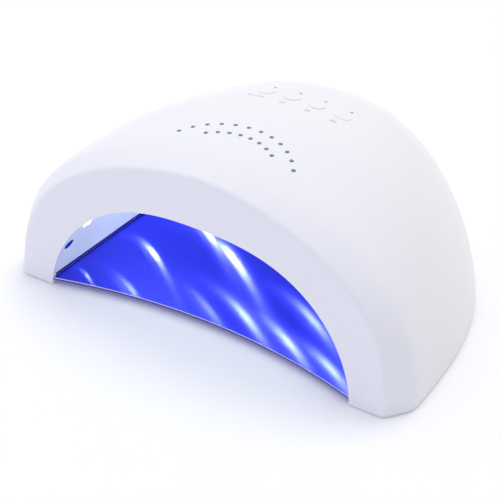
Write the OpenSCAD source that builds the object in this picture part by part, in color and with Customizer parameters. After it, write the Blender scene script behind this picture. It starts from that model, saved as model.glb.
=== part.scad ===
// Table-top nail lamp: a white domed shell over a lit hand cavity, with a loose metal tray.
// +X is the user's right, the hand goes in towards +Y and +Z is up.
// The table is z = 0 and the origin is under the middle of the shell.

/* [Shell] */
// Overall width, at the ridge behind the front face
collar_w = 220; // [206:1:236]
// How far the ridge stands out beyond the front face on each side
collar_step = 8; // [5:0.5:12]
// How far the crown rises above the top of the front face
brow_drop = 6; // [3:0.5:9]
// Depth from the front face to the ridge
collar_d = 12.5; // [9:0.5:18]
// Depth of the shell from front to back
shell_d = 158; // [150:1:175]
// Height of the dome's crown above the shell's bottom edge
roof_h = 89; // [86:0.5:97]
// Distance from the front to the crown
crown_s = 45; // [35:1:60]
// How fast the roof drops away from the crown, per mm of depth
roof_sag = 0.002; // [0.001:0.0001:0.0024]
// Rise of the front brow per mm of depth
brow_rise = 0.32; // [0.2:0.02:0.5]
// Narrowing of the dome towards its back, as a share of its width
side_taper = 0.114; // [0:0.01:0.16]
// Lean of the front face, in mm back per mm up
lean = 0.076; // [0:0.005:0.12]
// Wall thickness of the shell
wall = 2.5; // [1.8:0.1:3]
// Radius of the edge round the front face
edge_r = 2; // [1:0.25:3]
// Softness of the ridge on the sides
ridge_r = 2.5; // [1:0.25:5]
// Softness of the ridge over the brow
brow_r = 3; // [1:0.25:6]
// Gap under the shell's bottom edge
base_z = 0.8; // [0.5:0.1:1.5]

/* [Hand opening] */
// Width of the front face on each side of the opening
bezel_w = 17.7; // [16.5:0.1:20]
// Room between the top of the opening and the crown
crown_room = 30.4; // [29.4:0.2:34]
// Depth of the straight part of the cavity
tunnel_d = 60; // [58:1:66]
// Room behind the cavity for the power socket
back_room = 20; // [18:0.5:24]
// Thickness of the cavity liner
liner_t = 1.8; // [1.2:0.1:2.2]
// Step between the opening's edge and the liner
liner_step = 0.4; // [0.2:0.1:0.8]
// Width of the flange round the liner's foot
flange_w = 2.5; // [1.5:0.25:3]
// Thickness of the flange round the liner's foot
flange_t = 1.6; // [1.2:0.1:2.5]

/* [Vents] */
// Diameter of a vent hole
vent_d = 2.2; // [1.5:0.1:2.6]
// Radius of the outer arc of vents
vent_outer_r = 38.7; // [36:0.1:42]
// Radius of the inner arc of vents
vent_inner_r = 30.8; // [26:0.1:32]
// Depth of the arcs' centre behind the front
vent_centre_s = 5.8; // [2:0.1:12]
// Angle between neighbouring vents of the outer arc
vent_outer_step = 9.9; // [8:0.1:10.5]
// Angle between neighbouring vents of the inner arc
vent_inner_step = 10.3; // [9:0.1:13]

/* [Buttons] */
// Diameter of a button
button_d = 8; // [7:0.25:9]
// Spacing of the buttons
button_pitch = 14.4; // [13.8:0.1:15]
// Distance of the buttons behind the front
button_s = 87; // [84:0.5:90]
// Travel of a button
button_travel = 0.5; // [0.3:0.05:0.6]
// Height of a button above the shell
button_proud = 0.25; // [0.1:0.05:0.5]
// Gap all round a button
button_gap = 0.25; // [0.15:0.05:0.35]
// Distance of the indicator lights behind the buttons
indicator_back = 8.2; // [7:0.1:9]
// Diameter of an indicator light
indicator_d = 1.5; // [1:0.1:2]

/* [Bottom] */
// Height of the frame plate above the table
frame_z = 4; // [3.6:0.1:5]
// Thickness of the frame plate
frame_t = 2.4; // [2:0.1:3]
// Gap between frame and shell
frame_gap = 0.5; // [0.4:0.05:0.8]
// Thickness of the metal tray
tray_t = 1; // [0.6:0.1:1.2]
// Gap above the tray
tray_lift = 0.3; // [0.2:0.05:0.5]
// Gap on each side of the tray
tray_gap = 0.6; // [0.4:0.1:1.5]
// Depth of the curve along the tray's front edge
tray_curve = 12.6; // [6:0.2:18]
// How far the back of the tray reaches under its ledge
tray_under = 9.8; // [6:0.2:10.4]
// Width of the ledge that the back of the tray hides under
ledge_w = 8; // [7:0.5:10]
// Diameter of a rubber foot
foot_d = 9; // [6:0.5:9]
// Diameter of a tray magnet
magnet_d = 7; // [5:0.5:8]
// Thickness of a tray magnet
magnet_t = 2; // [1:0.1:2]

// Diameter of a rubber foot's plug in the frame
foot_plug_d = 4; // [3:0.25:5]
// Height of a rubber foot's plug
foot_plug_h = 1.6; // [1:0.1:2]
// Distance of the front feet behind the front
front_foot_s = 12.5; // [9:0.5:18]
// Distance of the middle feet behind the front
middle_foot_s = 60; // [50:1:68]
// Half distance between the rear feet
rear_foot_x = 30; // [24:1:36]
// Distance of the side magnets in front of the cavity's back
side_magnet_back = 14; // [12:0.5:16]
// Half distance between the rear magnets
rear_magnet_x = 14; // [10:1:18]
// Distance of the tray's front corners behind the front
tray_front_s = 0.8; // [0.5:0.1:1.5]

/* [Frame screws] */
// Distance of the front bosses behind the front
front_boss_s = 30; // [26:1:36]
// Distance of the middle bosses behind the front
middle_boss_s = 80; // [74:1:86]
// Distance of the rear bosses in front of the shell's back
rear_boss_back = 24; // [22:0.5:27]
// Diameter of a screw boss inside the shell
boss_d = 8; // [7:0.25:8.5]
// Height of a screw boss
boss_h = 17; // [13:0.5:20]
// Thickness of the rib from a boss to the wall
rib_t = 2.4; // [1.6:0.1:3]
// Height of the rib from a boss to the wall
rib_h = 9; // [6:0.5:12]
// Diameter of a frame screw
frame_screw_d = 2.9; // [2.5:0.1:3.2]
// Diameter of a frame screw's head
frame_head_d = 6; // [5:0.25:6.5]
// Height of a frame screw's head
frame_head_h = 1.2; // [0.8:0.1:1.4]

/* [Lights] */
// Diameter of a lamp bead's lens
bead_d = 5; // [4:0.25:5.4]
// Length of a lamp bead's lens below its collar
bead_len = 4.5; // [3.5:0.25:5]
// Diameter of the well round a lamp bead
well_d = 7; // [6.6:0.1:7.6]
// Wall of the well round a lamp bead
well_wall = 1.2; // [0.8:0.1:1.5]
// Height of the roof board above the liner
roof_board_lift = 2.4; // [2:0.1:3.4]
// Distance from the roof board's middle row of beads to its outer rows
roof_row = 30; // [28:0.5:31]
// Distance of the middle row's first bead behind the front
roof_s = 34; // [32:0.5:36]
// Spacing of the beads along a row of the roof board
roof_pitch = 17; // [15:0.5:17]
// Step by which the outer rows start nearer the front
roof_stagger = 13; // [12:0.5:13.5]
// Distance of a side board's second bead inside the opening's foot
side_in = 9.8; // [8.8:0.1:11.3]
// Distance of a side board's first bead behind the front
side_s = 15.5; // [15:0.5:17]
// Distance from a side board's first bead to its second
side_pitch = 27.5; // [24:0.5:28.5]
// How far a side board's first bead sits above its second
first_bead_rise = 2.8; // [0:0.2:3.4]
// Distance of a side board's last bead behind the front
last_bead_s = 68; // [64:0.5:70]
// How far a side board's last bead sits below its second
last_bead_drop = 9; // [6:0.5:10]
// Distance of a shoulder board inside the opening's foot
shoulder_in = 36.3; // [34.3:0.1:38.3]
// Distance of a shoulder board's first bead behind the front
shoulder_s = 22; // [18:0.5:24]
// Spacing of the beads along a shoulder board
shoulder_pitch = 26; // [22:0.5:26.5]
// Width of a shoulder board or the rear board
strip_w = 12; // [10:0.5:13]
// Distance of a corner board's low bead in front of the cavity's back
corner_low_back = 36; // [35:0.5:37]
// Angle of a corner board's low bead round the cavity's arch
corner_low_turn = 62.4; // [61:0.2:64]
// Distance of a corner board's high bead in front of the cavity's back
corner_high_back = 30; // [29:0.5:31]
// Angle of a corner board's high bead round the cavity's arch
corner_high_turn = 45.4; // [44:0.2:47]
// From a bead's middle to a side board's edge
bead_rim = 3.2; // [3:0.1:3.2]
// From a bead's middle to a board's end with soldered wires
pad_room = 6; // [5.6:0.2:6.4]
// Width of a corner board
corner_board_w = 9; // [8.4:0.1:9.4]
// Extra height of a corner board above the liner
corner_lift = 0.8; // [0.6:0.1:1.2]
// Gap between the cavity and the rear board
rear_gap = 2.5; // [2:0.1:3]
// Spacing of the beads on the rear board
rear_pitch = 14; // [12:0.5:15]
// Height of the rear board's beads above the table
rear_z = 30; // [28:0.5:32]
// Height of a strip board above the liner
strip_lift = 3; // [2.4:0.1:4]
// Distance of the hand sensors inside the opening's foot
sensor_in = 4.7; // [3.8:0.1:5.8]
// Distance of the hand sensors behind the front
sensor_s = 8.4; // [8:0.1:9]
// Diameter of a hand sensor
sensor_d = 5; // [4:0.1:5.2]
// Diameter of a hand sensor's window
window_d = 6; // [5.6:0.1:6.4]

/* [Electronics] */
// Thickness of a circuit board
board_t = 1.6; // [1:0.1:1.8]
// Height of the standoffs under the driver board
standoff_h = 6.4; // [6:0.2:7.4]
// Width of the driver board
driver_w = 66; // [65:0.5:68]
// Length of the driver board from front to back
driver_len = 34; // [33:0.5:35]
// Distance of the driver board behind the front
driver_s = 22; // [21:0.5:23]
// Half distance between the driver board's standoffs
standoff_x = 20; // [19.5:0.5:20.5]
// Diameter of the round hole for the power plug's socket
jack_d = 8; // [7:0.1:8.5]
// Side of the socket's square body
jack_body = 9; // [8.6:0.1:9]
// Diameter of the bore that the power plug goes into
plug_d = 5.6; // [5:0.1:6]

// Gap between the socket's square body and the shell
jack_gap = 0.4; // [0.3:0.05:0.8]
// Gap between the socket's square body and the liner's flange
jack_room = 0.6; // [0.4:0.1:1.2]
// Wall at the end of the bore that the power plug goes into
jack_end = 2; // [1.5:0.1:3]
// Reach of the button board in front of the buttons
board_front = 14; // [12:0.5:15]
// Reach of the button board behind the buttons
board_back = 13; // [12:0.5:15]
// Height of a tact switch
switch_h = 3.6; // [3.2:0.1:4]
// Depth left under a pressed plunger inside its switch
switch_spare = 0.9; // [0.6:0.1:1.2]
// Diameter of a tact switch's plunger
plunger_d = 3.4; // [3:0.1:3.6]
// Wall of the guide round a button
guide_wall = 1.6; // [1.2:0.1:2]
// Width of the ribbon cable
ribbon_w = 10; // [8:0.5:12]
// Thickness of the ribbon cable
ribbon_t = 0.4; // [0.3:0.1:0.6]
// Diameter of a wire
wire_d = 1.4; // [1:0.1:1.6]
// Gap between the two wires of a pair
wire_apart = 0.6; // [0.4:0.1:1]

/* [Board screws] */
// Diameter of a post for a board screw
post_d = 6; // [5.6:0.1:7]
// Half distance between the button board's posts
post_x = 27; // [26:0.5:28]
// Distance of the button board's posts from the line of buttons
post_step = 10; // [9:0.25:10.5]
// Diameter of the hole for a board screw in a post
pilot_d = 2.5; // [2.5:0.1:2.7]
// Diameter of a board screw
board_screw_d = 2.4; // [2:0.1:2.4]
// Diameter of the hole for a board screw in a board
board_hole_d = 3; // [2.8:0.1:3.2]
// Depth of the hole for a board screw in the liner
post_bore = 4; // [3:0.25:5]
// Reach of a board screw into a post of the shell
screw_reach = 4.5; // [3.5:0.25:5.5]
// Diameter of a post for a strip board's screw
strip_post_d = 5; // [4.6:0.1:5.6]
// Diameter of the hole for a strip board's screw in its post
small_pilot_d = 2.1; // [2.1:0.1:2.3]
// Diameter of the hole for a strip board's screw in the board
small_hole_d = 2.4; // [2.2:0.1:2.6]
// Diameter of a strip board's screw
small_screw_d = 2; // [1.6:0.1:2]
// Length of the rounds that carry the roof board and rear board
well_reach = 14; // [12:0.5:16]

/* [Hidden] */
$fn = 48;

front_y = -shell_d / 2;
side_count = 44;
dome_rings = 25;
collar_rings = 4;
edge_rings = 3;
liner_sides = 36;
liner_rings = 12;
plan_power = 2.7;
roof_power = 8;
eps = 0.01;
cavity_power = 2.6;
cavity_roof_power = 5;
wire_sides = 8;
foot_z = frame_z + frame_t;

// Sizes that follow from the shell's, and places of what stands between shell and cavity
face_w = collar_w - 2 * collar_step;
face_h = roof_h - brow_drop;
opening_w = face_w - 2 * bezel_w;
opening_h = roof_h - crown_room;
cavity_d = shell_d - back_room;
tray_back_s = cavity_d - ledge_w + tray_under;
side_magnet_s = cavity_d - side_magnet_back;
rear_boss_s = shell_d - rear_boss_back;
side_x = opening_w / 2 - side_in;
shoulder_x = opening_w / 2 - shoulder_in;
sensor_x = opening_w / 2 - sensor_in;
corner_low_s = cavity_d - corner_low_back;
corner_high_s = cavity_d - corner_high_back;
rear_board_s = cavity_d + rear_gap;
strip_z = liner_t + strip_lift;
roof_board_z = base_z + opening_h + liner_step + liner_t + roof_board_lift;
driver_z = roof_board_z + board_t + standoff_h;
driver_top = driver_z + board_t;
boss_well_d = well_d + 2 * well_wall;

// Roundness of a section, across and up, at the front, the middle and the back
across_power = [1.66, 2.45, 1.9];
up_power = [2.75, 1.85, 1.8];
opening_across = 2.62;
opening_up = 1.72;

function clamp01(v) = min(max(v, 0), 1);
function soft_min(a, b, r) =
    let (h = max(r - abs(a - b), 0) / r)
    min(a, b) - h * h * r / 4;
function blend3(v, k) = v[0] * (1 - k) * (1 - 2 * k) + 4 * v[1] * k * (1 - k) + v[2] * k * (2 * k - 1);
function unit(v) = v / norm(v);

// A point of an arch that stands on z = 0, where t runs from -90 at the left foot to 90 at the right
function arch_xz(w, h, p, q, t) = [
    w * sign(t) * pow(abs(sin(t)), 2 / p),
    h * pow(cos(t), 2 / q)
];

// The dome at depth s behind the front, drawn in by inset, as half width and height
function dome_share(s, inset) = clamp01((s - collar_d) / (shell_d - inset - collar_d));
function dome_w(s, inset) =
    let (u = dome_share(s, inset))
    (collar_w / 2 + ridge_r / 4 - inset) * (1 - side_taper * u) * sqrt(1 - pow(u, plan_power));
function collar_half_w(s, inset) =
    face_w / 2 - inset + ((collar_w - face_w) / 2 + ridge_r / 4) * s / collar_d;
function shell_w(s, inset) = soft_min(collar_half_w(s, inset), dome_w(s, inset), ridge_r);
function dome_h(s, inset) =
    let (u = dome_share(s, inset))
    (roof_h - inset - roof_sag * pow(s - crown_s, 2)) * sqrt(1 - pow(u, roof_power));
function shell_h(s, inset) = soft_min(face_h - inset + brow_rise * s, dome_h(s, inset), brow_r);

// Places a section's point in the room, with the front face leaning back
function place(s, xz) = [
    xz[0],
    front_y + s + lean * xz[1] * (1 - s / shell_d),
    base_z + xz[1]
];
function shell_pt(s, inset, t) =
    let (k = s / shell_d)
    let (p = blend3(across_power, k), q = blend3(up_power, k))
    place(s, arch_xz(shell_w(s, inset), shell_h(s, inset), p, q, t));
function edge_pt(a, t) = shell_pt(edge_r * (1 - cos(a)), edge_r * (1 - sin(a)), t);
function opening_pt(s, t) =
    place(s, arch_xz(opening_w / 2, opening_h, opening_across, opening_up, t));

// A point on the outside of the roof, x to the right of the middle at depth s
function roof_pt(x, s) =
    let (
        k = s / shell_d,
        w = shell_w(s, 0),
        z = shell_h(s, 0) * pow(1 - pow(abs(x) / w, blend3(across_power, k)), 1 / blend3(up_power, k))
    )
    place(s, [x, z]);

// Depths of the rings, from the rounded front edge to just before the back
function collar_stations(first) = [
    for (i = [1 : collar_rings])
        first + (collar_d - first) * i / collar_rings
];
function dome_stations() = [
    for (i = [1 : dome_rings - 1])
        collar_d + (shell_d - collar_d) * sin(90 * i / dome_rings)
];
outer_s = concat(collar_stations(edge_r), dome_stations());

// The skin is a loop, front to back outside and inside, swept from foot to foot
function outer_loop(t) = concat(
    [opening_pt(0, t)],
    [for (i = [0 : edge_rings]) edge_pt(90 * i / edge_rings, t)],
    [for (s = outer_s) shell_pt(s, 0, t)]
);
function inner_loop(t) = concat(
    [opening_pt(wall, t)],
    [for (i = [0 : edge_rings]) shell_pt(wall + i * edge_r / (2 * edge_rings), wall, t)],
    [for (s = outer_s) shell_pt(wall + (shell_d - 2 * wall) * s / shell_d, wall, t)]
);

module shell_skin() {
    n = edge_rings + 2 + len(outer_s);
    turns = [for (j = [0 : side_count]) -90 + 180 * j / side_count];
    outer = [for (t = turns) each outer_loop(t)];
    inner = [for (t = turns) each inner_loop(t)];
    size = n * (side_count + 1);
    tip_out = 2 * size;
    tip_in = tip_out + 1;
    tips = [[0, front_y + shell_d, base_z], [0, front_y + shell_d - wall, base_z]];
    outer_faces = [
        for (j = [0 : side_count - 1], i = [0 : n - 2])
            let (a = j * n + i, b = a + n)
            each [[a, a + 1, b + 1], [a, b + 1, b]]
    ];
    inner_faces = [
        for (j = [0 : side_count - 1], i = [0 : n - 2])
            let (a = size + j * n + i, b = a + n)
            each [[a, b + 1, a + 1], [a, b, b + 1]]
    ];
    tip_faces = [
        for (j = [0 : side_count - 1])
            let (a = j * n + n - 1)
            each [[a, tip_out, a + n], [size + a, size + a + n, tip_in]]
    ];
    mouth_faces = [
        for (j = [0 : side_count - 1])
            let (a = j * n)
            each [[a, a + n, size + a + n], [a, size + a + n, size + a]]
    ];
    left_rim = [
        for (i = [0 : n - 2])
            each [[i, size + i, size + i + 1], [i, size + i + 1, i + 1]]
    ];
    right_rim = [
        for (i = [0 : n - 2])
            let (a = side_count * n + i)
            each [[a, size + a + 1, size + a], [a, a + 1, size + a + 1]]
    ];
    back_rim = [
        [n - 1, size + n - 1, tip_in],
        [n - 1, tip_in, tip_out],
        [size - 1, tip_in, 2 * size - 1],
        [size - 1, tip_out, tip_in]
    ];
    polyhedron(
        concat(outer, inner, tips),
        concat(outer_faces, inner_faces, tip_faces, mouth_faces, left_rim, right_rim, back_rim)
    );
}

// The cavity at depth s, grown outwards, as half width and height
function cavity_share(s, grow) = clamp01((s - tunnel_d) / (cavity_d + grow - tunnel_d));
function cavity_w(s, grow) =
    (opening_w / 2 + liner_step + grow) * sqrt(1 - pow(cavity_share(s, grow), cavity_power));
function cavity_h(s, grow) =
    (opening_h + liner_step + grow) * sqrt(1 - pow(cavity_share(s, grow), cavity_roof_power));

// A solid the shape of the cavity, grown outwards, from depth first to its back
module cavity_solid(grow, first, skirt) {
    reach = cavity_d + grow - tunnel_d;
    stations = concat(
        [first],
        [for (i = [0 : liner_rings]) tunnel_d + reach * sin(85 * i / liner_rings)]
    );
    turns = [for (j = [0 : liner_sides]) -90 + 180 * j / liner_sides];
    n = liner_sides + 3;
    points = [
        for (s = stations)
            let (w = cavity_w(s, grow), h = cavity_h(s, grow))
            each concat(
                [place(s, [-w, -skirt])],
                [for (t = turns) place(s, arch_xz(w, h, opening_across, opening_up, t))],
                [place(s, [w, -skirt])]
            )
    ];
    sides = [
        for (i = [0 : len(stations) - 2], j = [0 : n - 1])
            let (a = i * n + j, b = i * n + (j + 1) % n)
            each [[a, a + n, b + n], [a, b + n, b]]
    ];
    front = [[for (j = [0 : n - 1]) j]];
    back = [[for (j = [n - 1 : -1 : 0]) (len(stations) - 1) * n + j]];
    polyhedron(points, concat(sides, front, back));
}

// Flat outline of a horseshoe or plate from half widths at a list of depths
function right_side(stations, widths) = [
    for (i = [0 : len(stations) - 1]) [widths[i], front_y + stations[i]]
];
function left_side(stations, widths) = [
    for (i = [len(stations) - 1 : -1 : 0]) [-widths[i], front_y + stations[i]]
];
function curve_stations(first, straight, last, count) = concat(
    [first],
    [for (i = [0 : count]) straight + (last - straight) * sin(90 * i / count)]
);

// Half width inside the shell at depth s and height z above the table, drawn in by gap
function inside_w(s, z, gap) =
    let (
        k = s / shell_d,
        up = z - base_z,
        d = s - lean * up * (1 - k),
        rest = 1 - pow(clamp01(up / max(shell_h(d, wall + gap), eps)), blend3(up_power, k))
    )
    shell_w(d, wall + gap) * pow(rest, 1 / blend3(across_power, k));

// Places where the bottom is screwed to the shell, as [x, depth behind the front]
function gap_middle(s) = (cavity_w(s, liner_t) + inside_w(s, foot_z, 0)) / 2;
frame_screw_at = [
    for (side = [-1, 1], p = [
        [gap_middle(front_boss_s), front_boss_s],
        [gap_middle(middle_boss_s), middle_boss_s],
        [inside_w(rear_boss_s, foot_z, 0) - boss_d - 1, rear_boss_s]
    ]) [side * p[0], p[1]]
];
feet_at = [
    for (side = [-1, 1], p = [
        [gap_middle(front_foot_s), front_foot_s],
        [gap_middle(middle_foot_s), middle_foot_s],
        [rear_foot_x, (shell_d + cavity_d - ledge_w - wall) / 2]
    ]) [side * p[0], p[1]]
];

module at_each(places, z) {
    for (p = places) translate([p[0], front_y + p[1], z]) children();
}

module shell_bosses() {
    for (p = frame_screw_at) {
        side = sign(p[0]);
        reach = inside_w(p[1], foot_z, 0) + wall / 2;
        translate([p[0], front_y + p[1], foot_z]) cylinder(d = boss_d, h = boss_h);
        translate([side > 0 ? p[0] : -reach, front_y + p[1] - rib_t / 2, foot_z])
            cube([reach - abs(p[0]), rib_t, rib_h]);
    }
}

// The buttons' own frame: origin on the roof, local +Z out of the shell, local +Y to the back
datum = roof_pt(0, button_s);
along = unit(roof_pt(0, button_s + 1) - roof_pt(0, button_s - 1));
outward = [0, -along[2], along[1]];
button_tilt = atan2(-along[2], along[1]);
function to_datum(p) = [(p - datum)[0], (p - datum) * along, (p - datum) * outward];
function from_datum(y, depth) = datum + y * along - depth * outward;
module at_datum() translate(datum) rotate([-button_tilt, 0, 0]) children();

function button_x(i) = (i - 1.5) * button_pitch;
function button_top(i) = to_datum(roof_pt(button_x(i), button_s));
function indicator_top(i) = to_datum(roof_pt(button_x(i), button_s + indicator_back));
function roof_roll(x, s) = atan((roof_pt(x - 1, s)[2] - roof_pt(x + 1, s)[2]) / 2);
post_tops = [
    for (side = [-1, 1], step = [-post_step, post_step])
        to_datum(roof_pt(side * post_x, button_s + step))
];

// Depths below the roof's datum, down through a button to the board
guide_end = wall + 2.9;
flange_top = guide_end + 0.3;
stem_top = flange_top + 1;
plunger_top = stem_top + 1.8;
plunger_len = 2;
plunger_in = 0.6;
switch_top = plunger_top + plunger_len - plunger_in;
button_board_top = switch_top + switch_h;

module button_guides() {
    d = button_d + 2 * button_gap + 2 * guide_wall;
    at_datum() for (i = [0 : 3]) {
        p = button_top(i);
        translate([p[0], p[1], -guide_end]) cylinder(d = d, h = guide_end + p[2] - wall / 2);
    }
}

module board_posts() {
    at_datum() for (p = post_tops)
        translate([p[0], p[1], -button_board_top])
            cylinder(d = post_d, h = button_board_top + p[2] - wall / 2);
}

module vent_arc(radius, step, count) {
    for (k = [0 : count - 1]) {
        a = (k - (count - 1) / 2) * step;
        s = vent_centre_s + radius * cos(a);
        p = roof_pt(radius * sin(a), s);
        translate([p[0], p[1], p[2] - 3 * wall]) cylinder(d = vent_d, h = 6 * wall);
    }
}

module outer_shell() {
    color("white") difference() {
        union() {
            shell_skin();
            shell_bosses();
            button_guides();
            board_posts();
        }
        vent_arc(vent_outer_r, vent_outer_step, 12);
        vent_arc(vent_inner_r, vent_inner_step, 8);
        at_datum() for (i = [0 : 3]) {
            p = button_top(i);
            q = indicator_top(i);
            translate([p[0], p[1], -guide_end - 1])
                cylinder(d = button_d + 2 * button_gap, h = 2 * guide_end);
            translate([q[0], q[1], q[2] - 2 * wall]) cylinder(d = indicator_d + 0.1, h = 4 * wall);
        }
        at_datum() for (p = post_tops)
            translate([p[0], p[1], -button_board_top - 1]) cylinder(d = pilot_d, h = screw_reach + 2);
        at_each(frame_screw_at, foot_z - 1) cylinder(d = frame_screw_d + 0.1, h = boss_h - 1);
        translate([0, front_y + shell_d - 3 * wall, jack_z])
            rotate([-90, 0, 0]) cylinder(d = jack_d, h = 4 * wall);
    }
}

// Places on the roof board, as [x, depth behind the front]
roof_beads_at = [
    for (x = [-1, 0, 1], k = [0 : 4])
        [x * roof_row, roof_s - abs(x) * roof_stagger + k * roof_pitch]
];
roof_board_ends = [roof_s - roof_stagger - 6, roof_s + 4 * roof_pitch + 6];
standoffs_at = [for (x = [-1, 1], k = [0, 1]) [x * standoff_x, driver_s + 6 + k * (driver_len - 12)]];
roof_screws_at = [for (x = [-1, 1]) [x * standoff_x, roof_s + 3.5 * roof_pitch]];

// Places on a side board and a shoulder board, as [distance down, depth behind the front]
side_beads_at = [
    [-first_bead_rise, side_s],
    [0, side_s + side_pitch],
    [last_bead_drop, last_bead_s]
];
side_screws_at = [
    [last_bead_drop / 2, side_s + side_pitch / 2],
    [last_bead_drop / 2, (side_s + side_pitch + last_bead_s) / 2]
];
shoulder_beads_at = [for (k = [0 : 2]) [0, shoulder_s + k * shoulder_pitch]];
shoulder_screws_at = [for (k = [0, 1]) [0, shoulder_s + (k + 0.5) * shoulder_pitch]];

// Places on the rear board, as [x, height above the table]
rear_beads_at = [for (k = [-1 : 1]) [k * rear_pitch, rear_z]];
rear_screws_at = [for (k = [-0.5, 0.5]) [k * rear_pitch, rear_z]];

// The liner's own arch at x, and a frame that stands on it with local +Z outwards
function arch_z(x) =
    let (w = opening_w / 2 + liner_step, h = opening_h + liner_step)
    base_z + h * pow(1 - pow(abs(x) / w, opening_across), 1 / opening_up);
function arch_lean(x) = atan2(arch_z(x - 0.5) - arch_z(x + 0.5), 1);
module at_arch(x) translate([x, front_y, arch_z(x)]) rotate([0, arch_lean(x), 0]) children();
module on_side(side) mirror([side < 0 ? 1 : 0, 0, 0]) children();

// A corner board's frame: origin between its two beads, local +X towards the high bead
function cavity_pt(s, t) =
    place(s, arch_xz(cavity_w(s, 0), cavity_h(s, 0), opening_across, opening_up, t));
corner_low = cavity_pt(corner_low_s, corner_low_turn);
corner_high = cavity_pt(corner_high_s, corner_high_turn);
corner_x = unit(corner_high - corner_low);
corner_s = (corner_low_s + corner_high_s) / 2;
corner_turn = (corner_low_turn + corner_high_turn) / 2;
corner_back = cavity_pt(corner_s + 1, corner_turn) - cavity_pt(corner_s - 1, corner_turn);
corner_out = unit(cross(corner_back, corner_x));
corner_y = cross(corner_out, corner_x);
corner_reach = norm(corner_high - corner_low) / 2;
corner_z = strip_z + corner_lift;
module at_corner() {
    o = (corner_low + corner_high) / 2;
    multmatrix([
        [corner_x[0], corner_y[0], corner_out[0], o[0]],
        [corner_x[1], corner_y[1], corner_out[1], o[1]],
        [corner_x[2], corner_y[2], corner_out[2], o[2]],
        [0, 0, 0, 1]
    ]) children();
}
module at_rear(places, s) {
    for (p = places) translate([p[0], front_y + s, p[1]]) rotate([90, 0, 0]) children();
}

// Rounds that carry the boards on the liner; what reaches into the cavity is cut away later
module liner_wells() {
    at_each(roof_beads_at, roof_board_z - well_reach) cylinder(d = boss_well_d, h = well_reach);
    at_each(concat(standoffs_at, roof_screws_at), roof_board_z - well_reach)
        cylinder(d = post_d, h = well_reach);
    for (side = [-1, 1]) on_side(side) {
        at_arch(side_x) {
            for (p = side_beads_at) translate([p[0], p[1], -4])
                cylinder(d = boss_well_d, h = strip_z + 4);
            for (p = side_screws_at) translate([p[0], p[1], -4])
                cylinder(d = strip_post_d, h = strip_z + 4);
        }
        at_arch(shoulder_x) {
            for (p = shoulder_beads_at) translate([0, p[1], -4])
                cylinder(d = boss_well_d, h = strip_z + 4);
            for (p = shoulder_screws_at) translate([0, p[1], -4])
                cylinder(d = strip_post_d, h = strip_z + 4);
        }
        at_corner() {
            for (x = [-1, 1]) translate([x * corner_reach, 0, -4])
                cylinder(d = boss_well_d, h = corner_z + 4);
            translate([0, 0, -4]) cylinder(d = strip_post_d, h = corner_z + 4);
        }
    }
    at_rear(rear_beads_at, rear_board_s) cylinder(d = boss_well_d, h = well_reach);
    at_rear(rear_screws_at, rear_board_s) cylinder(d = strip_post_d, h = well_reach);
    for (side = [-1, 1]) at_arch(side * sensor_x)
        translate([0, sensor_s, -4]) cylinder(d = window_d + 2.6, h = 4 + liner_t + 2.2);
}

module liner_bores() {
    at_each(roof_beads_at, roof_board_z - 2 * well_reach) cylinder(d = well_d, h = 2 * well_reach + 1);
    at_each(concat(standoffs_at, roof_screws_at), roof_board_z - post_bore)
        cylinder(d = pilot_d, h = post_bore + 1);
    for (side = [-1, 1]) on_side(side) {
        at_arch(side_x) {
            for (p = side_beads_at) translate([p[0], p[1], -5]) cylinder(d = well_d, h = strip_z + 6);
            for (p = side_screws_at) translate([p[0], p[1], strip_z - 2.4])
                cylinder(d = small_pilot_d, h = 4);
        }
        at_arch(shoulder_x) {
            for (p = shoulder_beads_at) translate([0, p[1], -5]) cylinder(d = well_d, h = strip_z + 6);
            for (p = shoulder_screws_at) translate([0, p[1], strip_z - 2.4])
                cylinder(d = small_pilot_d, h = 4);
        }
        at_corner() {
            for (x = [-1, 1]) translate([x * corner_reach, 0, -5]) cylinder(d = well_d, h = corner_z + 6);
            translate([0, 0, corner_z - 2.4]) cylinder(d = small_pilot_d, h = 4);
        }
    }
    at_rear(rear_beads_at, rear_board_s + 1) cylinder(d = well_d, h = 2 * well_reach);
    at_rear(rear_screws_at, rear_board_s + 1) cylinder(d = small_pilot_d, h = 4);
    for (side = [-1, 1]) at_arch(side * sensor_x) translate([0, sensor_s, 0]) {
        translate([0, 0, -5]) cylinder(d = window_d + 0.2, h = 5 + liner_t);
        cylinder(d = sensor_d + 0.2, h = liner_t + 4);
    }
}

module reflector_liner() {
    grow = liner_t + flange_w;
    stations = curve_stations(wall + 0.6, tunnel_d, cavity_d + grow, 20);
    widths = [for (s = stations) cavity_w(s, grow)];
    color("whitesmoke") difference() {
        union() {
            cavity_solid(liner_t, wall + 0.2, 0);
            translate([0, 0, foot_z]) linear_extrude(flange_t)
                polygon(concat(right_side(stations, widths), left_side(stations, widths)));
            liner_wells();
        }
        cavity_solid(0, -10, 2);
        translate([-collar_w, front_y - 20, -20]) cube([2 * collar_w, 2 * shell_d, 20 + foot_z]);
        translate([0, front_y + wall + 0.2, base_z]) rotate([-atan(lean), 0, 0])
            translate([-collar_w, -20, -roof_h]) cube([2 * collar_w, 20, 2 * roof_h]);
        at_each(frame_screw_at, foot_z - 1) cylinder(d = boss_d + 0.6, h = 10);
        liner_bores();
    }
}

// Half width of the frame's inner edge, which runs in as a ledge over the back of the tray
function frame_in_w(s) =
    opening_w / 2
    * sqrt(1 - pow(clamp01((s - tunnel_d) / (cavity_d - ledge_w - tunnel_d)), cavity_power));
function tray_w(s) =
    (opening_w / 2 - tray_gap)
    * sqrt(1 - pow(clamp01((s - tunnel_d) / (tray_back_s - tunnel_d)), cavity_power));
magnets_at = [
    for (side = [-1, 1], p = [
        [(frame_in_w(side_magnet_s) + tray_w(side_magnet_s)) / 2, side_magnet_s],
        [rear_magnet_x, cavity_d - ledge_w / 2]
    ]) [side * p[0], p[1]]
];

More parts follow.
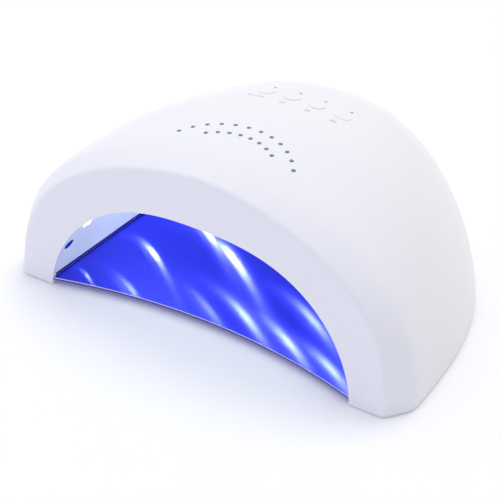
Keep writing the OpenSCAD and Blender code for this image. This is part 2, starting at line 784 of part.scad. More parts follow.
module bottom_frame() {
    last = shell_d - wall - frame_gap;
    outer_at = concat(
        [for (s = [wall + 0.8 : 2.5 : collar_d + 2.5]) s],
        [for (i = [1 : 26]) collar_d + 3 + (last - collar_d - 3) * sin(90 * i / 26)]
    );
    outer = [for (s = outer_at) inside_w(s, foot_z, frame_gap)];
    inner_at = curve_stations(wall + 0.8, tunnel_d, cavity_d - ledge_w, 24);
    inner = [for (s = inner_at) frame_in_w(s)];
    color("white") difference() {
        translate([0, 0, frame_z]) linear_extrude(frame_t) polygon(concat(
            right_side(outer_at, outer),
            left_side(outer_at, outer),
            [for (i = [0 : len(inner_at) - 1]) [-inner[i], front_y + inner_at[i]]],
            [for (i = [len(inner_at) - 2 : -1 : 0]) [inner[i], front_y + inner_at[i]]]
        ));
        at_each(frame_screw_at, frame_z - 1) {
            cylinder(d = frame_screw_d + 0.6, h = frame_t + 2);
            cylinder(d = frame_head_d + 0.4, h = 1 + frame_head_h);
        }
        at_each(feet_at, frame_z - 1) cylinder(d = foot_plug_d + 0.2, h = 1 + foot_plug_h + 0.2);
        at_each(magnets_at, frame_z - 1) cylinder(d = magnet_d + 0.1, h = 1 + magnet_t);
    }
}

module frame_screws() {
    color("silver") at_each(frame_screw_at, frame_z) difference() {
        union() {
            cylinder(d = frame_head_d, h = frame_head_h);
            cylinder(d = frame_screw_d, h = frame_t + boss_h - 5);
        }
        for (a = [0, 90]) rotate(a) translate([-1.6, -0.35, -1]) cube([3.2, 0.7, 1.6]);
    }
}

module rubber_feet() {
    color("dimgray") at_each(feet_at, 0) {
        cylinder(d = foot_d, h = frame_z);
        cylinder(d = foot_plug_d, h = frame_z + foot_plug_h);
    }
}

module tray_magnets() {
    color("silver") at_each(magnets_at, frame_z) cylinder(d = magnet_d, h = magnet_t);
}

// A loose metal plate whose front edge curves in towards the hand
module base_tray() {
    half = tray_w(0);
    bow_r = (half * half + tray_curve * tray_curve) / (2 * tray_curve);
    bow = asin(half / bow_r);
    stations = curve_stations(tray_front_s, tunnel_d, tray_back_s, 24);
    widths = [for (s = stations) tray_w(s)];
    front_edge = [
        for (i = [1 : 39])
            let (a = -bow + 2 * bow * i / 40)
            [bow_r * sin(a), front_y + tray_front_s + tray_curve - bow_r + bow_r * cos(a)]
    ];
    color("lightsteelblue") translate([0, 0, frame_z - tray_lift - tray_t]) linear_extrude(tray_t)
        polygon(concat(front_edge, right_side(stations, widths), left_side(stations, widths)));
}

module bead() {
    cylinder(d = bead_d + 0.6, h = 1.2);
    translate([0, 0, 1.2 - eps]) cylinder(d = bead_d, h = bead_len - bead_d / 2);
    translate([0, 0, 1.2 + bead_len - bead_d / 2]) sphere(d = bead_d);
}

module roof_led_board() {
    half = roof_row + 6;
    color("white") difference() {
        translate([-half, front_y + roof_board_ends[0], roof_board_z])
            cube([2 * half, roof_board_ends[1] - roof_board_ends[0], board_t]);
        at_each(concat(standoffs_at, roof_screws_at), roof_board_z - 1)
            cylinder(d = board_hole_d, h = board_t + 2);
    }
}

// A flat board over an arch, with holes for its screws
module arch_board(x, screws, low, high) {
    color("white") at_arch(x) difference() {
        translate([low[0], low[1], strip_z]) cube([high[0] - low[0], high[1] - low[1], board_t]);
        for (p = screws) translate([p[0], p[1], strip_z - 1]) cylinder(d = small_hole_d, h = board_t + 2);
    }
}
module side_board(side) {
    on_side(side) arch_board(
        side_x, side_screws_at,
        [-first_bead_rise - bead_rim, side_s - bead_rim],
        [last_bead_drop + bead_rim, last_bead_s + pad_room]
    );
}
module shoulder_board(side) {
    half = strip_w / 2;
    last = shoulder_s + 2 * shoulder_pitch;
    on_side(side)
        arch_board(
            shoulder_x, shoulder_screws_at, [-half, shoulder_s - pad_room], [half, last + pad_room]
        );
}
module corner_board(side) {
    half = corner_reach + bead_d / 2 + 0.6;
    color("white") on_side(side) at_corner() difference() {
        translate([-half, -corner_board_w / 2, corner_z]) cube([2 * half, corner_board_w, board_t]);
        translate([0, 0, corner_z - 1]) cylinder(d = small_hole_d, h = board_t + 2);
    }
}

module rear_led_board() {
    color("white") difference() {
        translate([-rear_pitch - 8, front_y + rear_board_s, rear_z - strip_w / 2])
            cube([2 * rear_pitch + 16, board_t, strip_w]);
        at_rear(rear_screws_at, rear_board_s + board_t + 1)
            cylinder(d = small_hole_d, h = board_t + 2);
    }
}

module roof_led_beads() {
    color("lightcyan") at_each(roof_beads_at, roof_board_z) rotate([180, 0, 0]) bead();
}
module side_beads(side) {
    color("lightcyan") on_side(side) {
        at_arch(side_x) for (p = side_beads_at) translate([p[0], p[1], strip_z]) rotate([180, 0, 0]) bead();
        at_arch(shoulder_x) for (p = shoulder_beads_at) translate([0, p[1], strip_z])
            rotate([180, 0, 0]) bead();
        at_corner() for (x = [-1, 1]) translate([x * corner_reach, 0, corner_z])
            rotate([180, 0, 0]) bead();
    }
}
module rear_led_beads() {
    color("lightcyan") at_rear(rear_beads_at, rear_board_s) bead();
}

module small_screw(length) {
    translate([0, 0, -length]) cylinder(d = small_screw_d, h = length + eps);
    cylinder(d = 3.8, h = 1.2);
}
module board_screw(length) {
    translate([0, 0, -length]) cylinder(d = board_screw_d, h = length + eps);
    cylinder(d = 4.6, h = 1.5);
}

module led_board_screws() {
    color("silver") {
        at_each(roof_screws_at, roof_board_z + board_t) board_screw(board_t + post_bore - 0.4);
        for (side = [-1, 1]) on_side(side) {
            at_arch(side_x) for (p = side_screws_at) translate([p[0], p[1], strip_z + board_t])
                small_screw(board_t + 2.2);
            at_arch(shoulder_x) for (p = shoulder_screws_at) translate([0, p[1], strip_z + board_t])
                small_screw(board_t + 2.2);
            at_corner() translate([0, 0, corner_z + board_t]) small_screw(board_t + 2.2);
        }
        for (p = rear_screws_at) translate([p[0], front_y + rear_board_s + board_t, p[1]])
            rotate([-90, 0, 0]) small_screw(board_t + 2.6);
    }
}

module sensor() {
    cylinder(d = sensor_d, h = 6);
    translate([0, 0, 5]) cylinder(d = sensor_d + 0.8, h = 1);
    for (x = [-1.27, 1.27]) translate([x, 0, 6 - eps]) cylinder(d = 0.6, h = 3);
}
module ir_emitter() {
    color("midnightblue") at_arch(-sensor_x) translate([0, sensor_s, liner_t + 0.1]) sensor();
}
module ir_receiver() {
    color("black") at_arch(sensor_x) translate([0, sensor_s, liner_t + 0.1]) sensor();
}
module sensor_windows() {
    color("navy") for (side = [-1, 1]) at_arch(side * sensor_x)
        translate([0, sensor_s, 0.1]) cylinder(d = window_d, h = liner_t - 0.1);
}

module board_standoffs() {
    color("gold") at_each(standoffs_at, roof_board_z + board_t) difference() {
        union() {
            cylinder(d = 5.5, h = standoff_h, $fn = 6);
            translate([0, 0, 0.4 - board_t - post_bore])
                cylinder(d = board_screw_d, h = board_t + post_bore);
        }
        translate([0, 0, 1]) cylinder(d = pilot_d, h = driver_z);
    }
}

module driver_board() {
    color("darkgreen") difference() {
        translate([-driver_w / 2, front_y + driver_s, driver_z]) cube([driver_w, driver_len, board_t]);
        at_each(standoffs_at, driver_z - 1) cylinder(d = board_hole_d, h = board_t + 2);
    }
}
module driver_board_screws() {
    color("silver") at_each(standoffs_at, driver_top) board_screw(board_t + 4);
}
module driver_capacitors() {
    color("navy") for (p = [[-14, 11], [-14, 20], [-5, 6]])
        translate([p[0], front_y + driver_s + p[1], driver_top]) difference() {
            cylinder(d = 8, h = 9.5);
            translate([0, 0, 9]) cylinder(d = 6, h = 1);
        }
}
module driver_inductor() {
    color("dimgray") translate([-2, front_y + driver_s + 16, driver_top]) {
        cylinder(d = 10, h = 1.2);
        cylinder(d = 6.5, h = 6.4);
        translate([0, 0, 5.2]) cylinder(d = 10, h = 1.2);
    }
}
module driver_chips() {
    color("black") {
        for (k = [0 : 3]) translate([9, front_y + driver_s + 4 + 7 * k, driver_top])
            cube([6.5, 5.4, 2.3]);
        translate([-8, front_y + driver_s + 22.5, driver_top]) cube([10, 6, 1.6]);
    }
}

// A white plug-in connector whose long side runs along x
module connector(w, d, h) {
    difference() {
        translate([-w / 2, -d / 2, 0]) cube([w, d, h]);
        translate([-w / 2 + 0.8, -d / 2 + 0.8, 1]) cube([w - 1.6, d - 1.6, h]);
    }
}
ribbon_end = [front_y + driver_s + driver_len - 1, driver_top + 1.2];
ribbon_start = from_datum(-board_front - 0.1, button_board_top - 1.2);
module strip_connectors() {
    color("ivory") {
        for (side = [-1, 1], k = [0, 1])
            translate([side * (driver_w / 2 - 6.5), front_y + driver_s + 13 + 9 * k, driver_top])
                rotate(90) connector(7.5, 5, 5.5);
        translate([-ribbon_w / 2 - 1, ribbon_end[0] - 4, driver_top]) cube([ribbon_w + 2, 4, 2.4]);
        at_datum() translate([-ribbon_w / 2 - 1, -board_front, -button_board_top])
            cube([ribbon_w + 2, 3.6, 2.4]);
    }
}
module ribbon_cable() {
    from = ribbon_end;
    to = [ribbon_start[1], ribbon_start[2]];
    top = [for (k = [0 : 8]) from + (to - from) * k / 8 + [0, 1.2 * sin(22.5 * k) + ribbon_t / 2]];
    bottom = [for (k = [8 : -1 : 0]) top[k] - [0, ribbon_t]];
    color("lightgray") translate([-ribbon_w / 2, 0, 0])
        rotate([90, 0, 90]) linear_extrude(ribbon_w) polygon(concat(top, bottom));
}

module button_board() {
    color("darkgreen") at_datum() difference() {
        translate([-post_x - 4, -board_front, -button_board_top - board_t])
            cube([2 * post_x + 8, board_front + board_back, board_t]);
        for (p = post_tops) translate([p[0], p[1], -button_board_top - board_t - 1])
            cylinder(d = board_hole_d, h = board_t + 2);
    }
}
module button_board_screws() {
    color("silver") at_datum() for (p = post_tops)
        translate([p[0], p[1], -button_board_top - board_t]) rotate([180, 0, 0])
            board_screw(board_t + screw_reach);
}
module microcontroller() {
    color("black") at_datum() translate([12, -board_front + 2, -button_board_top]) cube([9, 6, 1.5]);
}
module tact_switches() {
    color("black") at_datum() for (i = [0 : 3]) {
        p = button_top(i);
        bore = plunger_in + button_travel + switch_spare;
        translate([p[0], p[1], -button_board_top]) difference() {
            translate([-3, -3, 0]) cube([6, 6, switch_h]);
            translate([0, 0, switch_h - bore]) cylinder(d = plunger_d + 0.4, h = bore + 1);
        }
    }
}
module indicator_leds() {
    color("lightblue") at_datum() for (i = [0 : 3]) {
        p = indicator_top(i);
        translate([p[0] - 1, p[1] - 0.6, -button_board_top]) cube([2, 1.2, 0.8]);
    }
}
module light_pipes() {
    color("gainsboro") at_datum() for (i = [0 : 3]) {
        p = indicator_top(i);
        low = button_board_top - 1.1;
        translate([p[0], p[1], -low]) {
            cylinder(d = indicator_d, h = low + p[2]);
            cylinder(d = indicator_d + 1.5, h = low - guide_end - 0.6);
        }
    }
}

// A square socket block with a round snout through the shell and a bore for the plug
jack_z = foot_z + jack_body / 2;
jack_fits = [
    for (k = [0 : 60])
        let (s = shell_d - wall - k / 10)
        if (inside_w(s, jack_z + jack_body / 2, 0) > jack_body / 2) s
];
jack_face_s = jack_fits[0] - jack_gap;
jack_len = jack_face_s - cavity_d - liner_t - flange_w - jack_room;
plug_depth = jack_len - jack_end;
module dc_jack_body() {
    color("black") translate([0, front_y + jack_face_s, jack_z]) rotate([-90, 0, 0]) difference() {
        union() {
            translate([-jack_body / 2, -jack_body / 2, -jack_len]) cube([jack_body, jack_body, jack_len]);
            cylinder(d = jack_d - 0.3, h = wall + 0.9);
        }
        translate([0, 0, -plug_depth]) cylinder(d = plug_d, h = plug_depth + 2 * wall);
    }
}
module dc_jack_pin() {
    color("silver") translate([0, front_y + jack_face_s - plug_depth, jack_z]) rotate([-90, 0, 0]) {
        cylinder(d = 4, h = 0.8);
        cylinder(d = 2, h = plug_depth + 0.8);
    }
}

// A round wire through a list of points, as one closed tube
function spline(p, i, u) =
    let (
        a = p[max(i - 1, 0)], b = p[i], c = p[i + 1], d = p[min(i + 2, len(p) - 1)]
    )
    0.5 * (2 * b + (c - a) * u + (2 * a - 5 * b + 4 * c - d) * u * u
        + (3 * b - a - 3 * c + d) * u * u * u);
module wire(points, d) {
    path = concat(
        [for (i = [0 : len(points) - 2], u = [0, 0.5]) spline(points, i, u)],
        [points[len(points) - 1]]
    );
    last = len(path) - 1;
    rings = [
        for (i = [0 : last])
            let (
                dir = unit(path[min(i + 1, last)] - path[max(i - 1, 0)]),
                e1 = unit(cross(dir, [0.2, 0.1, 1])),
                e2 = cross(dir, e1)
            )
            each [for (k = [0 : wire_sides - 1])
                path[i] + d / 2 * (e1 * cos(360 * k / wire_sides) + e2 * sin(360 * k / wire_sides))]
    ];
    sides = [
        for (i = [0 : last - 1], k = [0 : wire_sides - 1])
            let (a = i * wire_sides + k, b = i * wire_sides + (k + 1) % wire_sides)
            each [[a, b + wire_sides, b], [a, a + wire_sides, b + wire_sides]]
    ];
    start = [[for (k = [0 : wire_sides - 1]) k]];
    end = [[for (k = [wire_sides - 1 : -1 : 0]) last * wire_sides + k]];
    polyhedron(rings, concat(sides, start, end));
}
// A red and a black wire side by side through points given as [x, depth behind the front, z]
module twin_wire(points) {
    last = len(points) - 1;
    path = [for (p = points) [p[0], front_y + p[1], p[2]]];
    beside = [
        for (i = [0 : last])
            let (dir = path[min(i + 1, last)] - path[max(i - 1, 0)])
            path[i] + unit([-dir[2], 0, dir[0]]) * (wire_d + wire_apart)
    ];
    color("firebrick") wire(path, wire_d);
    color("black") wire(beside, wire_d);
}

// The way from behind the liner, past the boards, to a connector of the driver board
roof_route = [
    [31, 129, 50], [34.5, 118, 56], [39, 107, 61], [40.5, 96, 65], [40.5, 84, 68.5], [40, 73, 72],
    [38.5, 64, 75.5], [34.5, 55, 77.5], [32.5, 48, 77.5], [29.9, 44, driver_top + 2.8]
];
module jack_wires() {
    start = [
        [jack_body / 2 + 0.2, 148, jack_z + 1.5], [12, 147.5, 13], [19, 146.5, 17], [26, 144.5, 25],
        [28.5, 142, 34], [30, 137, 43]
    ];
    twin_wire(concat(start, roof_route));
}
module strip_wires() {
    rear = [[16, 142.4, 30], [18, 144.2, 30], [24.5, 143.2, 32.5], [28.5, 140.5, 39], [30, 136, 45]];
    mirror([1, 0, 0]) twin_wire(concat(rear, roof_route));
    side_to_shoulder = [
        [79.9, 50, 33.1], [83, 50, 35.4], [84.5, 52, 42], [78, 57, 51], [68, 57.5, 58.5],
        [58, 56, 62.5], [52.2, 55.5, 60.4], [51, 55.5, 57.8]
    ];
    shoulder_to_driver = [
        [50.5, 28, 57.8], [51.7, 28, 60.6], [51.3, 29, 67], [46, 31, 72.3], [38, 33, 76],
        [driver_w / 2 - 3.6, 33, 76.8]
    ];
    sensor_to_side = [
        [90, 8.4, 24.4], [92.3, 8.4, 25.5], [91.5, 9.5, 31], [86, 12, 36.5], [82.3, 15, 35.3],
        [79.9, 15, 33.1]
    ];
    side_to_corner = [
        [79.9, 72, 33.1], [82.3, 72, 34.8], [82.3, 78, 36.2], [78, 88, 37.5], [72.2, 98, 38.7],
        [68.8, 103.7, 39]
    ];
    for (points = [side_to_shoulder, shoulder_to_driver, sensor_to_side, side_to_corner])
        for (side = [-1, 1]) on_side(side) twin_wire(points);
}

module button_cap(i) {
    p = button_top(i);
    color("white") at_datum() difference() {
        union() {
            translate([p[0], p[1], -flange_top - 0.5]) cylinder(d = button_d, h = flange_top + 2);
            translate([p[0], p[1], -stem_top]) cylinder(d = button_d + 2, h = stem_top - flange_top);
            translate([p[0], p[1], -plunger_top]) cylinder(d = 3, h = plunger_top - flange_top);
        }
        translate([p[0], p[1], p[2] + button_proud]) rotate([0, roof_roll(p[0], button_s), 0])
            translate([-button_d, -button_d, 0]) cube([2 * button_d, 2 * button_d, 2 * button_d]);
    }
}
module plunger(i) {
    p = button_top(i);
    color("dimgray") at_datum() translate([p[0], p[1], -plunger_top - plunger_len])
        cylinder(d = plunger_d, h = plunger_len);
}
module power_button() button_cap(0);
module short_timer_button() button_cap(1);
module middle_timer_button() button_cap(2);
module long_timer_button() button_cap(3);
module power_plunger() plunger(0);
module short_timer_plunger() plunger(1);
module middle_timer_plunger() plunger(2);
module long_timer_plunger() plunger(3);

outer_shell();
reflector_liner();
bottom_frame();
frame_screws();
rubber_feet();
tray_magnets();
base_tray();
roof_led_board();
shoulder_board(-1);  // left_shoulder_board
shoulder_board(1);  // right_shoulder_board
side_board(-1);  // left_side_board
side_board(1);  // right_side_board
corner_board(-1);  // left_corner_board
corner_board(1);  // right_corner_board
rear_led_board();
roof_led_beads();
side_beads(-1);  // left_led_beads
side_beads(1);  // right_led_beads
rear_led_beads();
led_board_screws();
ir_emitter();
ir_receiver();
sensor_windows();
board_standoffs();
driver_board();
driver_board_screws();
driver_capacitors();
driver_inductor();
driver_chips();
strip_connectors();
button_board();
button_board_screws();
microcontroller();
tact_switches();
indicator_leds();
light_pipes();
ribbon_cable();
dc_jack_body();
dc_jack_pin();
jack_wires();
strip_wires();
power_button();
short_timer_button();
middle_timer_button();
long_timer_button();
power_plunger();
short_timer_plunger();
middle_timer_plunger();
long_timer_plunger();
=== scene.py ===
"""Looks of a table-top nail lamp: a white domed shell over a lit cavity, and a loose metal tray."""

import math

import bmesh
import bpy
import numpy as np
from mathutils import Matrix, Vector


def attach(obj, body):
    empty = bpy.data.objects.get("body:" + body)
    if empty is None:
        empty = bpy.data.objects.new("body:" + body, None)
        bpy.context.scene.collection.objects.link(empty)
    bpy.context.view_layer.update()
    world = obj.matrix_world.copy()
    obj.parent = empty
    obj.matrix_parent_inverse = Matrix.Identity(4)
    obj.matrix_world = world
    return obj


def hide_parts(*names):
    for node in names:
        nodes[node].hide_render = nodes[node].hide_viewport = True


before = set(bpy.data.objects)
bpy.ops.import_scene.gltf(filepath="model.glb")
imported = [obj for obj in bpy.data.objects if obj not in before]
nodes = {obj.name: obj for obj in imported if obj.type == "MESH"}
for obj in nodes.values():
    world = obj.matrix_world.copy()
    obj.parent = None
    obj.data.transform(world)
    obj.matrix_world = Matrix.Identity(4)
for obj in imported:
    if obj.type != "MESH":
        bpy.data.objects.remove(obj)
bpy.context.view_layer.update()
MM = 0.001

# ---- Sizes, in millimetres. +X is the user's right, +Y goes in and +Z is up. s is the depth behind
# the shell's front, and the shell's own heights start at BASE_Z. They are the solids' sizes, except
# where a comment says otherwise.
COLLAR_W, COLLAR_D, FACE_W, FACE_H = 220.0, 12.5, 204.0, 83.0
SHELL_D, ROOF_H, CROWN_S = 158.0, 89.0, 45.0
ROOF_SAG, BROW_RISE, LEAN = 0.002, 0.32, 0.076
WALL, EDGE_R, RIDGE_R, BROW_R, BASE_Z = 2.5, 2.0, 2.5, 3.0, 0.8
OPENING_W, OPENING_H, OPENING_ACROSS, OPENING_UP = 168.6, 58.6, 2.62, 1.72
FRONT_Y = -SHELL_D / 2

# Behind the buttons the visible shell is fuller than the solid, to meet the photo's silhouette, so
# these differ from the solid's values or aren't in it. LIFT raises the roof by the end of a stretch
# of depth, and SOFTEN takes a share of the sag back from a depth on. ACROSS and UP say how round a
# section is, at the front, the middle and the back.
SIDE_TAPER, PLAN_POWER, ROOF_POWER = 0.11, 3.009, 7.783
LIFT, LIFT_FROM, LIFT_TO = 2.91, 87.0, 120.0
SOFTEN, SOFTEN_FROM = 0.44, 90.0
ACROSS, UP = (1.66, 2.469, 1.854), (2.75, 1.871, 1.6)

# The visible tray is a little wider and thicker than the solid, so that no floor shows beside it.
# Its front edge changes colour at TRAY_LINE_Z, below which it is painted shade, a dark tone for the
# shade under the sheet, and its sides are straight up to TUNNEL_D.
TRAY_HALF_W, TRAY_FRONT_S, TRAY_BACK_S, TRAY_CURVE = 84.25, 0.8, 139.8, 12.6
TRAY_Z, TRAY_LINE_Z, TRAY_TOP_Z, TRAY_EDGE = 2.7, 3.5, 3.95, 0.1
TUNNEL_D, TRAY_POWER = 60.0, 2.6

VENTS = ((38.7, 9.9, 12), (30.8, 10.3, 8))  # an arc's radius, degrees between holes, holes
VENT_CENTRE_S, VENT_D, VENT_MARGIN = 5.8, 2.2, 0.1
BUTTON_D, BUTTON_PITCH, BUTTON_S, BUTTON_GAP = 8.0, 14.4, 87.0, 0.25
MOUTH_GAP = 0.06  # the visible hole is closer round a button than the solid's BUTTON_GAP
INDICATOR_BACK, INDICATOR_D = 8.2, 1.5
JACK_Z, JACK_D = 10.9, 8.0
GUIDE_WALL, GUIDE_END = 1.6, 5.4
POST_D, POST_END, PILOT_D, SCREW_REACH = 6.0, 13.5, 2.5, 4.5
BOSS_D, BOSS_H, BOSS_CAP, SCREW_D = 8.0, 17.0, 2.0, 2.9
RIB_T, RIB_H, FOOT_Z = 2.4, 9.0, 6.4
LABELS = (("ON / OFF", 0.7), ("10", 1), ("30", 1), ("60", 1))  # text, and its share of LABEL_SIZE
LABEL_S, LABEL_SIZE, LABEL_STEPS, INK_T = 77.8, 3.3, 4, 0.04

# A hole's room over its pin, how far a cut starts outside, and the ends of cuts along their axes
HOLE_ROOM, PAST = 0.1, 1.0
MOUTH_CUT, PIPE_CUT, JACK_CUT, VENT_CUT = (-12, 6), (-6, 6), (-8, 4), (-3 * WALL, 3 * WALL)

# An edge is sharp from so many degrees on. A face looks along an axis if TILT of its normal does.
SHELL_SHARP, NODE_SHARP, BEVEL_SHARP = 32, 34, 45
BEVEL_SEGMENTS, TILT = 3, 0.3


# ---- The shell's shape
def soft_min(a, b, r):
    """The lesser of a and b with a rounded corner, which lies r / 4 lower where they are equal."""
    h = np.maximum(r - np.abs(a - b), 0.0) / r
    return np.minimum(a, b) - h * h * r / 4


def blend3(v, k):
    """A parabola through three values, at k = 0, a half and 1."""
    return v[0] * (1 - k) * (1 - 2 * k) + 4 * v[1] * k * (1 - k) + v[2] * k * (2 * k - 1)


def dome_share(s, inset):
    return np.clip((s - COLLAR_D) / (SHELL_D - inset - COLLAR_D), 0.0, 1.0)


def shell_w(s, inset=0.0):
    """Half the width of the shell's foot; inset is how far inside the outer skin."""
    u = dome_share(s, inset)
    dome = (COLLAR_W / 2 + RIDGE_R / 4 - inset) * (1 - SIDE_TAPER * u)
    dome = dome * np.sqrt(1 - u ** PLAN_POWER)
    collar = FACE_W / 2 - inset + ((COLLAR_W - FACE_W) / 2 + RIDGE_R / 4) * s / COLLAR_D
    return soft_min(collar, dome, RIDGE_R)


def shell_h(s, inset=0.0):
    """Height of the shell's middle line."""
    u = dome_share(s, inset)
    rise = np.clip((s - LIFT_FROM) / (LIFT_TO - LIFT_FROM), 0.0, 1.0)
    sag = ROOF_SAG * ((s - CROWN_S) ** 2 - SOFTEN * np.maximum(s - SOFTEN_FROM, 0.0) ** 2)
    sag = sag - LIFT * rise * rise * (3 - 2 * rise)
    dome = (ROOF_H - inset - sag) * np.sqrt(1 - u ** ROOF_POWER)
    return soft_min(FACE_H - inset + BROW_RISE * s, dome, BROW_R)


def arch(w, h, p, q, t):
    """x and z of a rounded arch that stands on z = 0; t runs from -90 to 90 degrees."""
    sine, cosine = np.sin(np.radians(t)), np.cos(np.radians(t))
    return w * np.sign(sine) * np.abs(sine) ** (2 / p), h * np.maximum(cosine, 0) ** (2 / q)


def leant(s, x, z):
    """A point in the shared frame; the front leans back, and the back stands upright."""
    return np.stack([x + 0 * s, FRONT_Y + s + LEAN * z * (1 - s / SHELL_D), BASE_Z + z + 0 * s], -1)


def shell_pt(s, inset, t):
    k = s / SHELL_D
    x, z = arch(shell_w(s, inset), shell_h(s, inset), blend3(ACROSS, k), blend3(UP, k), t)
    return leant(s, x, z)


def opening_pt(s, t):
    x, z = arch(OPENING_W / 2, OPENING_H, OPENING_ACROSS, OPENING_UP, t)
    return leant(s, x, z)


def roof_pt(x, s):
    """A point on the outside of the roof, x to the right of the middle at depth s."""
    x, s = np.asarray(x, float), np.asarray(s, float)
    k = s / SHELL_D
    z = shell_h(s) * (1 - (np.abs(x) / shell_w(s)) ** blend3(ACROSS, k)) ** (1 / blend3(UP, k))
    return leant(s, x, z)


def vector(p):
    return Vector([float(v) for v in p])


# The buttons' own frame: origin on the roof, local +Z out of the shell, local +Y to the back
DATUM = vector(roof_pt(0, BUTTON_S))
ALONG = (vector(roof_pt(0, BUTTON_S + 1)) - vector(roof_pt(0, BUTTON_S - 1))).normalized()
DATUM_MATRIX = Matrix.Translation(DATUM) @ Matrix.Rotation(math.atan2(ALONG.z, ALONG.y), 4, "X")
DATUM_INVERSE = DATUM_MATRIX.inverted()
OUTWARD = DATUM_MATRIX.to_3x3() @ Vector((0, 0, 1))


def to_datum(x, s):
    """A point of the roof in the buttons' own frame."""
    return DATUM_INVERSE @ vector(roof_pt(x, s))


def at_datum(p, z=0):
    """A place in the buttons' own frame, over p and z up."""
    return DATUM_MATRIX @ Matrix.Translation((p.x, p.y, z))


button_xs = [(i - (len(LABELS) - 1) / 2) * BUTTON_PITCH for i in range(len(LABELS))]
button_tops = [to_datum(x, BUTTON_S) for x in button_xs]
indicator_tops = [to_datum(x, BUTTON_S + INDICATOR_BACK) for x in button_xs]


# ---- Meshes
def add_object(name, data):
    obj = bpy.data.objects.new(name, data)
    bpy.context.scene.collection.objects.link(obj)
    return obj


def new_object(name, points, faces):
    """An object with a mesh from points in millimetres."""
    mesh = bpy.data.meshes.new(name)
    scaled = [tuple(float(c) * MM for c in p) for p in points]
    mesh.from_pydata(scaled, [], [list(f) for f in faces])
    mesh.update()
    return add_object(name, mesh)


def bmesh_object(name, bm):
    mesh = bpy.data.meshes.new(name)
    bm.to_mesh(mesh)
    bm.free()
    return add_object(name, mesh)


def add_cylinder(bm, matrix, d, low, high, sides):
    """A closed cylinder along the matrix's Z, from low to high, in millimetres."""
    rings = []
    for z in (low, high):
        ring = []
        for k in range(sides):
            a = math.tau * k / sides
            corner = matrix @ Vector((d / 2 * math.cos(a), d / 2 * math.sin(a), z))
            ring.append(bm.verts.new(corner * MM))
        rings.append(ring)
    bottom, top = rings
    bm.faces.new(bottom[::-1])
    bm.faces.new(top)
    for k in range(sides):
        bm.faces.new((bottom[k], bottom[(k + 1) % sides], top[(k + 1) % sides], top[k]))


def boolean(obj, cutter, operation):
    """Applies a boolean to obj's own mesh and deletes the cutter."""
    mod = obj.modifiers.new("cut", "BOOLEAN")
    mod.operation = operation
    mod.solver = "EXACT"
    mod.use_self = False
    mod.object = cutter
    graph = bpy.context.evaluated_depsgraph_get()
    mesh = bpy.data.meshes.new_from_object(obj.evaluated_get(graph))
    obj.modifiers.clear()
    old = obj.data
    obj.data = mesh
    bpy.data.meshes.remove(old)
    bpy.data.objects.remove(cutter)


def smooth(obj, degrees):
    for poly in obj.data.polygons:
        poly.use_smooth = True
    obj.data.set_sharp_from_angle(angle=math.radians(degrees))


def shell_mesh():
    """The shell's skin: a loop front to back, outside and inside, swept from foot to foot."""
    columns, edge_rows, collar_rows, dome_rows = 176, 6, 8, 72
    turns = np.linspace(-90, 90, columns + 1)
    edge = np.radians(np.linspace(0, 90, edge_rows + 1))
    collar = EDGE_R + (COLLAR_D - EDGE_R) * np.arange(1, collar_rows + 1) / collar_rows
    dome_turns = np.radians(90 * np.arange(1, dome_rows) / dome_rows)
    outer_s = np.concatenate([collar, COLLAR_D + (SHELL_D - COLLAR_D) * np.sin(dome_turns)])
    edge_s = [(EDGE_R * (1 - math.cos(a)), EDGE_R * (1 - math.sin(a))) for a in edge]
    lip_s = [WALL + i * EDGE_R / (2 * edge_rows) for i in range(edge_rows + 1)]
    inner_s = WALL + (SHELL_D - 2 * WALL) * outer_s / SHELL_D
    points = []
    for t in turns:
        points.append(opening_pt(0.0, t))
        points += [shell_pt(s, inset, t) for s, inset in edge_s]
        points += list(shell_pt(outer_s, 0.0, t))
    size = len(points)
    n = size // len(turns)
    for t in turns:
        points.append(opening_pt(WALL, t))
        points += [shell_pt(s, WALL, t) for s in lip_s]
        points += list(shell_pt(inner_s, WALL, t))
    tip_out, tip_in = 2 * size, 2 * size + 1
    points += [(0, FRONT_Y + SHELL_D, BASE_Z), (0, FRONT_Y + SHELL_D - WALL, BASE_Z)]
    faces = []
    for j in range(columns):
        for i in range(n - 1):
            a, b = j * n + i, (j + 1) * n + i
            faces.append((a, a + 1, b + 1, b))
            faces.append((size + a, size + b, size + b + 1, size + a + 1))
        a, b = j * n, (j + 1) * n
        faces.append((a, b, size + b, size + a))
        faces.append((a + n - 1, tip_out, b + n - 1))
        faces.append((size + a + n - 1, size + b + n - 1, tip_in))
    last = columns * n
    for i in range(n - 1):
        faces.append((i, size + i, size + i + 1, i + 1))
        faces.append((last + i, last + i + 1, size + last + i + 1, size + last + i))
    faces.append((n - 1, size + n - 1, tip_in, tip_out))
    faces.append((last + n - 1, tip_out, tip_in, size + last + n - 1))
    obj = new_object("shell_housing", points, faces)
    bm = bmesh.new()
    bm.from_mesh(obj.data)
    bmesh.ops.recalc_face_normals(bm, faces=bm.faces)
    bm.to_mesh(obj.data)
    bm.free()
    return obj


def middles(name, reach):
    """The middle of each solid of a CAD node, in millimetres; no solid is longer than reach."""
    groups = []
    for vert in nodes[name].data.vertices:
        p = vert.co / MM
        near = [g for g in groups if (g[0] - p).length < reach]
        if near:
            near[0].append(p)
        else:
            groups.append([p])
    return [
        Vector([(min(p[i] for p in g) + max(p[i] for p in g)) / 2 for i in range(3)])
        for g in groups
    ]


boss_places = [Matrix.Translation((p.x, p.y, FOOT_Z)) for p in middles("frame_screws", reach=30)]
post_places = [DATUM_INVERSE @ p for p in middles("button_board_screws", reach=12)]


